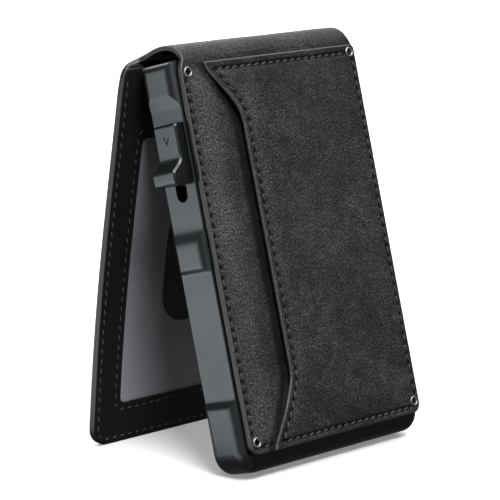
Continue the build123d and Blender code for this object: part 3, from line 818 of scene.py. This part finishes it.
def cover_relief(x, s, distance):
    """Seams, the open strip's swelling beside the pocket, and the flap's padded middle."""
    w = cover_length - s
    on_flap = np.clip((FLAP_STRAIGHT - w) / 3, 0, 1)
    on_front = np.clip((95.5 - s) / 3, 0, 1)
    seam_front = groove(distance, FRONT_SEAM) * on_front * (x < 0)
    seam_flap = groove(distance, FLAP_SEAM) * on_flap
    strip = hump(x, -23.4, 5.2) * pillow(s, 9, 0.5) * pillow(POCKET_TOP - s, 9, 1)
    strip = strip * (s < POCKET_TOP)
    full = pillow(distance - 1.5, 6, 0.25) * on_flap
    soft = 0.1 * waves(x, s, 3, 26) + 0.035 * waves(x, s, 5, 8)
    return seam_front + seam_flap + strip + full + soft


def cover_lift(x, s, distance):
    """The flap's bow, along the cover."""
    w = cover_length - s
    return bow(np.clip(w, 0, None)) * (w < FLAP_STRAIGHT)


def cover_thick(x, s, distance):
    """Thick front leather, a thinner spine, and a flap whose turned edge is thicker."""
    w = cover_length - s
    base = np.interp(s, [0, 95, 99], [LEATHER, LEATHER, SPINE])
    rim = FLAP_OUTER + (FLAP_THICK - LINING - FLAP_OUTER) * np.clip((1.9 - distance) / 0.4, 0, 1)
    on_flap = np.clip((100.5 - w) / 3, 0, 1)
    return base * (1 - on_flap) + rim * on_flap


def cover_tone_and_painted_light(x, s, distance):
    """Painted highlight on the open strip, paler towards its left and the top, and a painted sheen along the
    spine's outer curve; a painted shadow beside the pocket's opening; darker just inside the front's left edge;
    and random tone.
    """
    front = np.clip((POCKET_TOP - s) / 4, 0, 1)
    # Painted highlight: the swelling strip is paler towards its left side and towards the top, where the light
    # falls on it.
    strip = 0.82 * hump(x, -26.2, 4.2) * (0.32 + 0.68 * s / POCKET_TOP) * front
    hem = -0.22 * hump(distance, 0.9, 0.5) * front * (x < 0)
    # Painted sheen where the spine's outer curve catches the light.
    curve = 0.3 * hump(s, 103.5, 2.5)
    # Painted shadow, cast by the pocket's lifted opening edge onto the strip beside it.
    under = -1.0 * hump(x - opening_x(s), -0.7, 1.45, 4) * (s < POCKET_TOP)
    return strip + hem + curve + under + 0.25 * waves(x, s, 21, 18) * front


cover_spots = spots_of(front_rows)
cover_spots += [(x, cover_length - w, dx, -dw) for x, w, dx, dw in spots_of([flap_row])]
cover = sheet("leather_cover", steps_between(cover_length, ROW_STEP), cover_line, cover_half,
              thick=cover_thick, relief=cover_relief, lift=cover_lift, tone_and_painted_light=cover_tone_and_painted_light,
              holes=[(EYELET_LEFT, z) for z in EYELET_ZS], spots=cover_spots)
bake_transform(cover)
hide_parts("front_leather_panel", "spine_leather", "flap_outer_leather")


# ------------------------------------------------------------------ the front pocket
def pocket_right(z):
    """The x of the pocket's right edge at a height."""
    inset = np.maximum(arc_inset(z, PANEL_CORNER), arc_inset(POCKET_TOP - z, POCKET_TOP_CORNER))
    return POCKET_RIGHT - inset


def opening_seam():
    """The line of the stitches along the pocket's opening."""
    z = np.linspace(0.0, POCKET_TOP, 300)
    path = np.stack([opening_x(z), z], -1)
    ahead = np.gradient(path, axis=0)
    ahead /= np.linalg.norm(ahead, axis=1)[:, None]
    seam = path + np.stack([ahead[:, 1], -ahead[:, 0]], -1) * OPENING_SEAM
    return seam[(seam[:, 1] > FOOT_SEAM) & (seam[:, 1] < POCKET_TOP - OPENING_SEAM)]


seam_path = opening_seam()
opening_row = stitch_row(seam_path)
top_z = POCKET_TOP - OPENING_SEAM
pocket_rows = [
    stitch_row([(POCKET_RIGHT - POCKET_SEAM, z) for z in SIDE_SEAM_ENDS]),
    stitch_row([(seam_path[-1][0] + TOP_ROW_GAP, top_z), (POCKET_ROW_END, top_z)]),
    stitch_row([(seam_path[0][0] + FOOT_ROW_GAP, FOOT_SEAM), (POCKET_ROW_END, FOOT_SEAM)]),
]


def from_opening(x, z):
    """The distance in from the pocket's opening edge."""
    heights = np.linspace(0, POCKET_TOP, 400)
    slope = np.gradient(opening_x(heights), heights)
    return (x - opening_x(z)) / np.hypot(1, np.interp(z, heights, slope))


def pocket_relief(x, z, distance):
    """Four seams, and the padded leather between them."""
    away, down, left = from_opening(x, z), POCKET_TOP - z, POCKET_RIGHT - x
    seam = groove(away, OPENING_SEAM) + groove(down, OPENING_SEAM) * (x > -22)
    seam = seam + groove(left, POCKET_SEAM) + groove(z, FOOT_SEAM)
    inside = np.minimum(np.minimum(away - OPENING_SEAM, down - OPENING_SEAM),
                        np.minimum(left - POCKET_SEAM, z - FOOT_SEAM))
    soft = 0.11 * waves(x, z, 11, 30) + 0.04 * waves(x, z, 12, 9)
    return seam + pillow(inside, 7, 0.45) + soft


GAPE = 1.25
GAPE_REACH = 7.0
HELD_LENGTH = 10.0


def pocket_lift(x, z, distance):
    """The opening edge stands off the leather under it, except close to its held ends."""
    away = np.exp(-np.clip(x - opening_x(z), 0, None) / GAPE_REACH)
    free = np.clip(np.minimum(z, POCKET_TOP - z) / HELD_LENGTH, 0, 1)
    return GAPE * away * free * free * (3 - 2 * free)


def pocket_tone_and_painted_light(x, z, distance):
    """Painted highlights just inside the opening's seam, paler towards the top, and along the opening edge;
    painted shade near the bottom, the right edge and the top; and random tone.
    """
    away = from_opening(x, z)
    # Painted highlight where the padded leather swells beside the opening's seam, paler towards the top.
    inner = 0.35 * hump(away, 4.2, 1.6) * (0.4 + 0.6 * z / POCKET_TOP)
    # Painted highlight along the opening edge.
    rim = 0.35 * hump(away, 0, 0.7)
    # Painted shade where the padded leather dips towards the bottom seam, the right edge and the top seam.
    bottom_and_edge_painted_shade = -0.35 * np.exp(-np.clip(z - FOOT_SEAM, 0, None) / 5)
    bottom_and_edge_painted_shade = bottom_and_edge_painted_shade - 0.25 * np.exp(-(POCKET_RIGHT - x) / 4)
    top = -0.3 * np.exp(-np.clip(POCKET_TOP - 2 - z, 0, None) / 4)
    return inner + rim + bottom_and_edge_painted_shade + top + 0.3 * waves(x, z, 22, 24)


FIT = 0.04
# The pocket's walls take the leather, painted darker towards its inner face as the shade under its lifted opening
# edge.
pocket = sheet("pocket_leather", steps_between(POCKET_TOP, ROW_STEP),
               straight(CASE, -POCKET, 0, POCKET_TOP), pocket_right, left=opening_x,
               thick=lambda x, s, distance: np.full(x.shape, POCKET - FIT),
               relief=pocket_relief, lift=pocket_lift, tone_and_painted_light=pocket_tone_and_painted_light,
               holes=[(EYELET_RIGHT, z) for z in EYELET_ZS],
               spots=spots_of([opening_row] + pocket_rows), wall_edge_paint_painted_shade=False)
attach(pocket, "case")
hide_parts("pocket_panel")


# ------------------------------------------------------------------ the flap's inner layers
BAND = 2.4
MERGE = 0.004
EDGE_FACING = 0.75


def plate(name, outlines, v0, v1, bevel, materials):
    """A flat layer of the flap from closed outlines of (x, w), bowed with the flap.

    The first outline is the layer's edge, and the others are openings in it. v0 and v1 are
    its faces' places across the flap.
    """
    curve = bpy.data.curves.new(name, "CURVE")
    curve.dimensions = "2D"
    curve.fill_mode = "BOTH"
    for outline in outlines:
        spline = curve.splines.new("POLY")
        spline.points.add(len(outline) - 1)
        for point, (x, w) in zip(spline.points, outline):
            point.co = (x, w, 0, 1)
        spline.use_cyclic_u = True
    curve.extrude = (v1 - v0) / 2 - bevel
    curve.bevel_depth = bevel
    curve.offset = -bevel
    curve.bevel_resolution = 3
    holder = bpy.data.objects.new(name + "_curve", curve)
    mesh = bpy.data.meshes.new_from_object(holder)
    bpy.data.objects.remove(holder)
    shape = bmesh.new()
    shape.from_mesh(mesh)
    bmesh.ops.remove_doubles(shape, verts=shape.verts, dist=0.001)
    for w in np.arange(BAND, LINING_TOP, BAND):
        bmesh.ops.bisect_plane(shape, geom=shape.verts[:] + shape.edges[:] + shape.faces[:],
                               plane_co=(0, w, 0), plane_no=(0, 1, 0))
    bmesh.ops.remove_doubles(shape, verts=shape.verts, dist=MERGE)
    bmesh.ops.dissolve_degenerate(shape, dist=MERGE, edges=shape.edges)
    bmesh.ops.triangulate(shape, faces=[f for f in shape.faces if len(f.verts) > 4])
    bmesh.ops.recalc_face_normals(shape, faces=shape.faces)
    shape.to_mesh(mesh)
    shape.free()
    flat = np.zeros(len(mesh.vertices) * 3)
    mesh.vertices.foreach_get("co", flat)
    flat = flat.reshape(-1, 3)
    x, w = flat[:, 0], flat[:, 1]
    v = (v0 + v1) / 2 + flat[:, 2] + bow(w)
    places = FLAP.at(np.stack([x, v, w], -1))
    mesh.vertices.foreach_set("co", places.ravel())
    layer = mesh.uv_layers.get("UVMap") or mesh.uv_layers.new(name="UVMap")
    index = np.zeros(len(mesh.loops), np.int32)
    mesh.loops.foreach_get("vertex_index", index)
    layer.data.foreach_set("uv", (flat[index, :2] / UV_SIZE).ravel())
    mesh.materials.clear()
    for material in materials:
        mesh.materials.append(material)
    normals = np.zeros(len(mesh.polygons) * 3)
    mesh.polygons.foreach_get("normal", normals)
    facing = np.abs(normals.reshape(-1, 3) @ FLAP.axes[1])
    on_edge = (facing < EDGE_FACING).astype(np.int32)
    mesh.polygons.foreach_set("material_index", on_edge * (len(materials) - 1))
    mesh.polygons.foreach_set("use_smooth", [True] * len(mesh.polygons))
    mesh.update()
    made = bpy.data.objects.new(name, mesh)
    bpy.context.scene.collection.objects.link(made)
    sharpen(made, 40)
    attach(made, "flap")
    return made


def sharpen(piece, degrees):
    """Keeps edges sharper than an angle crisp under smooth shading."""
    shape = bmesh.new()
    shape.from_mesh(piece.data)
    for edge in shape.edges:
        edge.smooth = edge.calc_face_angle(0) < math.radians(degrees)
    shape.to_mesh(piece.data)
    shape.free()


def closed_outline(points, radii):
    """A closed outline with rounded corners."""
    out = []
    for k, (point, radius) in enumerate(zip(points, radii)):
        out += polyline_arc(point, points[k - 1], points[(k + 1) % len(points)], radius, 9)
    return out


def flap_outline(inset, top):
    """The flap's outline, with its shoulders, up to a height."""
    upper = [(h - inset, w) for w, h in SHOULDER_SHAPE if w > 50 and w < top] + [
        (np.interp(top, *zip(*SHOULDER_SHAPE)) - inset, top)]
    corner = polyline_arc((FLAP_HALF - inset, inset), (0, inset), (FLAP_HALF - inset, 50),
                          FLAP_CORNER - inset, 10)
    right = [tuple(p) for p in corner] + upper
    return right + [(-x, w) for x, w in reversed(right)]


def rounded_box(half, low, high, radius):
    """The closed outline of an upright rectangle with rounded corners."""
    return closed_outline([(-half, low), (half, low), (half, high), (-half, high)], [radius] * 4)


def window_edge(grow):
    """The window's outline, grown by a margin."""
    return rounded_box(WINDOW_HALF + grow, WINDOW_LOW - grow, WINDOW_HIGH + grow,
                       WINDOW_CORNER + grow)


def notch_edge():
    """The outline of the round-ended thumb slot in the window."""
    x, r = NOTCH_X, NOTCH_RADIUS
    low, high = NOTCH_LOW + r, NOTCH_HIGH - r
    turns = np.linspace(0, math.pi, 25)
    upper = [(x + r * math.cos(t), high + r * math.sin(t)) for t in turns]
    lower = [(x - r * math.cos(t), low - r * math.sin(t)) for t in turns]
    return upper + lower


# The lining's edges take the dark copy of the edge paint: painted shade.
lining = plate("lining_leather", [flap_outline(0, LINING_TOP), window_edge(0)], 0, LINING,
               0.16, [SMOOTH, EDGE_PAINT_PAINTED_SHADE])
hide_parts("flap_lining")
film = plate("window_sheet", [window_edge(FILM_MARGIN), notch_edge()], FILM_LOW, FILM_HIGH,
             0.06, [WINDOW, WINDOW])
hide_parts("id_window_film")
stiffener = plate("flap_board", [flap_outline(BOARD_INSET, BOARD_TOP)], BOARD_LOW, BOARD_HIGH,
                  0.05, [BOARD, BOARD])
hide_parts("flap_stiffener")


# ------------------------------------------------------------------ eyelets
# The rivet's closed section, as (radius, depth behind the leather's face).
EYELET_PROFILE = [(0.78, 1.9), (0.78, 0.1), (0.82, -0.1), (0.93, -0.24), (1.06, -0.29),
                  (1.2, -0.27), (1.31, -0.17), (1.36, -0.03), (1.36, 0.06)]


def eyelet(centre_x, face, z, sides=28):
    """Points and faces of one hollow rivet in the case frame, its flange on a face."""
    points, quads = [], []
    for r, depth in EYELET_PROFILE:
        for k in range(sides):
            turn = math.tau * k / sides
            points.append((centre_x + r * math.cos(turn), face + depth, z + r * math.sin(turn)))
    for row in range(len(EYELET_PROFILE)):
        ahead = (row + 1) % len(EYELET_PROFILE) * sides
        for k in range(sides):
            after = (k + 1) % sides
            quads.append((row * sides + k, row * sides + after, ahead + after, ahead + k))
    return points, quads


ring_points, ring_faces = [], []
for ring_x, ring_face in ((EYELET_LEFT, 0.0), (EYELET_RIGHT, -POCKET)):
    for ring_z in EYELET_ZS:
        points, quads = eyelet(ring_x, ring_face, ring_z)
        ring_faces += [tuple(len(ring_points) + i for i in quad) for quad in quads]
        ring_points += points
eyelets = make_object("eyelet_rings", CASE.at(ring_points), ring_faces, [NICKEL])
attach(eyelets, "case")
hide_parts("corner_eyelets")

# ------------------------------------------------------------------ the trigger's spring
CHANNEL_BOTTOM = 49.0
CARRIAGE_BOTTOM = 71.6
CHANNEL_MIDDLE = (-28.9, 7.4)
CLEARANCE = 0.02
WIRE_RADIUS = 0.2
COIL_RADIUS = 1.15
COIL_TURNS = 10


def tube_faces(rings, sides):
    """Quads between neighbouring rings of points."""
    faces = []
    for i in range(rings - 1):
        for k in range(sides):
            a, b = i * sides + k, i * sides + (k + 1) % sides
            faces.append((a, a + sides, b + sides, b))
    return faces


def coil(sides=8, steps=24):
    """Points, faces and height of a compression spring that stands in the trigger's channel."""
    low = CHANNEL_BOTTOM + WIRE_RADIUS + CLEARANCE
    rise = CARRIAGE_BOTTOM - WIRE_RADIUS - CLEARANCE - low
    count = COIL_TURNS * steps + 1
    points = []
    for i in range(count):
        turn = math.tau * i / steps
        out = Vector((math.cos(turn), math.sin(turn), 0))
        middle_line = Vector((*CHANNEL_MIDDLE, low + rise * i / (count - 1)))
        for k in range(sides):
            round_wire = math.tau * k / sides
            offset = out * math.cos(round_wire) + Vector((0, 0, math.sin(round_wire)))
            points.append(middle_line + out * COIL_RADIUS + offset * WIRE_RADIUS)
    faces = tube_faces(count, sides)
    faces.append(tuple(range(sides)))
    faces.append(tuple(range(count * sides - 1, (count - 1) * sides - 1, -1)))
    return points, faces, rise + 2 * WIRE_RADIUS


coil_points, coil_faces, coil_height = coil()
spring = make_object("spring_coil", CASE.at(coil_points), coil_faces, [SPRING_PAINTED_SHADE])
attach(spring, "case")
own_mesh(spring)
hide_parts("return_spring")


# ------------------------------------------------------------------ all the stitching
def sew(name, body, place, rows, depth, outward, material, **sizes):
    """A group of rows of stitches that moves with a body."""
    piece = stitches(name, place, rows, depth, outward, material, **sizes)
    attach(piece, body)


SUNK = 0.1
window_path = rounded_box(WINDOW_SEAM_HALF, WINDOW_SEAM_LOW, WINDOW_SEAM_HIGH,
                          WINDOW_SEAM_CORNER)
window_row = stitch_row(window_path + window_path[:1])
opening_depths = [SUNK - POCKET - float(pocket_lift(x, z, 0)) for x, z in opening_row[0]]
outer_depths = [FLAP_THICK - SUNK + float(bow(w)) for x, w in flap_row[0]]
inner_depths = [float(bow(w)) for row in (flap_row, window_row) for x, w in row[0]]
sew("front_stitches", "case", CASE, front_rows, SUNK, -1, BLACK_THREAD_PAINTED_GLINTS, seed=2)
sew("pocket_stitches", "case", CASE, pocket_rows, SUNK - POCKET, -1, BLACK_THREAD_PAINTED_GLINTS, seed=3)
sew("opening_stitches", "case", CASE, [opening_row], opening_depths, -1, BLACK_THREAD_PAINTED_GLINTS, seed=4)
sew("flap_outer_stitches", "flap", FLAP, [flap_row], outer_depths, 1, BLACK_THREAD_PAINTED_GLINTS, seed=5)
sew("flap_inner_stitches", "flap", FLAP, [flap_row, window_row], inner_depths, -1, THREAD_PAINTED_GREY_GLINTS,
    seed=6, width=0.4, length=1.75)

# ------------------------------------------------------------------ finishes of the hard parts
FINISHES = {
    GUNMETAL: ["case_left_rail", "case_right_rail", "case_front_plate", "case_back_plate",
               "case_top_cap", "trigger_button"],
    # The bezel takes the darker gunmetal copy, painted shade.
    GUNMETAL_PAINTED_SHADE: ["case_mouth_bezel"],
    CLIP_STEEL: ["money_clip_base", "money_clip_bend", "money_clip_arm"],
    SCREW: ["plate_screws", "trigger_screws", "money_clip_rivets"],
    ACETAL: ["card_pusher"],
    BOARD: ["front_backing_board"],
    RUBBER: ["card_grip_strips"],
}
for material, names in FINISHES.items():
    for name in names:
        node = frame["nodes"][name]
        node.data.materials.clear()
        node.data.materials.append(material)


# ------------------------------------------------------------------ floor, light and camera
def slab(name, x0, x1, y0, y1, z, material):
    """A flat rectangle of the stage."""
    corners = [(x0, y0, z), (x1, y0, z), (x1, y1, z), (x0, y1, z)]
    piece = make_object(name, corners, [(0, 1, 2, 3)], [material])
    return piece


def dome(name, radius, material, rings=24, sides=48):
    """A pale studio dome round the stage, seen by the camera alone."""
    points = []
    for i in range(rings + 1):
        rise = math.pi / 2 * (2 * i / rings - 1)
        for k in range(sides):
            turn = math.tau * k / sides
            flat = radius * math.cos(rise)
            points.append((flat * math.cos(turn), flat * math.sin(turn), radius * math.sin(rise)))
    piece = make_object(name, points, tube_faces(rings + 1, sides), [material])
    return piece


def aimed(name, data, toward):
    """A lamp's or camera's object, turned to look along a direction."""
    holder = bpy.data.objects.new(name, data)
    bpy.context.scene.collection.objects.link(holder)
    holder.rotation_euler = toward.to_track_quat("-Z", "Y").to_euler()
    return holder


def lamp(name, place, aim, size, power):
    """A soft rectangular studio lamp."""
    light = bpy.data.lights.new(name, "AREA")
    light.shape = "RECTANGLE"
    light.size, light.size_y = size
    light.energy = power
    aimed(name, light, Vector(aim) - Vector(place)).location = place


def sun(name, place, strength, spread):
    """A distant, very soft lamp that shines from a direction."""
    light = bpy.data.lights.new(name, "SUN")
    light.energy = strength
    light.angle = math.radians(spread)
    aimed(name, light, -Vector(place))


def camera(target, distance, azimuth, elevation, lens):
    """A camera that looks at a target from an azimuth and elevation, in degrees."""
    data = bpy.data.cameras.new("camera")
    data.lens = lens
    data.sensor_width = 36.0
    turn, rise = math.radians(azimuth), math.radians(elevation)
    away = Vector((math.sin(turn) * math.cos(rise), -math.cos(turn) * math.cos(rise),
                   math.sin(rise)))
    holder = aimed("camera", data, -away)
    holder.location = Vector(target) + away * distance
    bpy.context.scene.camera = holder


floor = slab("floor", -3, 3, -3, 3, 0, floor_paint())
floor.visible_glossy = False
floor.visible_diffuse = False
wall = dome("backdrop", 2.9, backdrop_paint())
wall.visible_diffuse = False
wall.visible_glossy = False
wall.visible_transmission = False
wall.visible_shadow = False
# A white card on the floor beside the case, seen only in the metal's reflections.
card = slab("reflector", -0.6, -0.045, -0.04, 0.6, 0.0005, floor_paint())
card.visible_camera = False
card.visible_diffuse = False
card.visible_shadow = False
world = bpy.data.worlds.new("studio")
bpy.context.scene.world = world
world.use_nodes = True
sky = world.node_tree.nodes["Background"]
sky.inputs["Color"].default_value = (1.0, 0.995, 0.985, 1)
sky.inputs["Strength"].default_value = 0.1
bpy.context.scene.view_settings.view_transform = "Standard"
sun("overhead", (0.2, -0.05, 1.0), 2.6, 75)
lamp("front", (-0.3, -0.6, 0.85), (0, 0, 0.08), (0.4, 0.4), 9.5)
lamp("left", (-0.8, 0.66, 0.12), (0, 0, 0.06), (0.7, 0.2), 0.8)
lamp("behind", (0.45, 0.8, 0.5), (0, 0, 0.05), (0.6, 0.6), 6.0)
camera((-0.03166, -0.02693, 0.05848), 0.6148, 314.574, 11.025, 184.94)
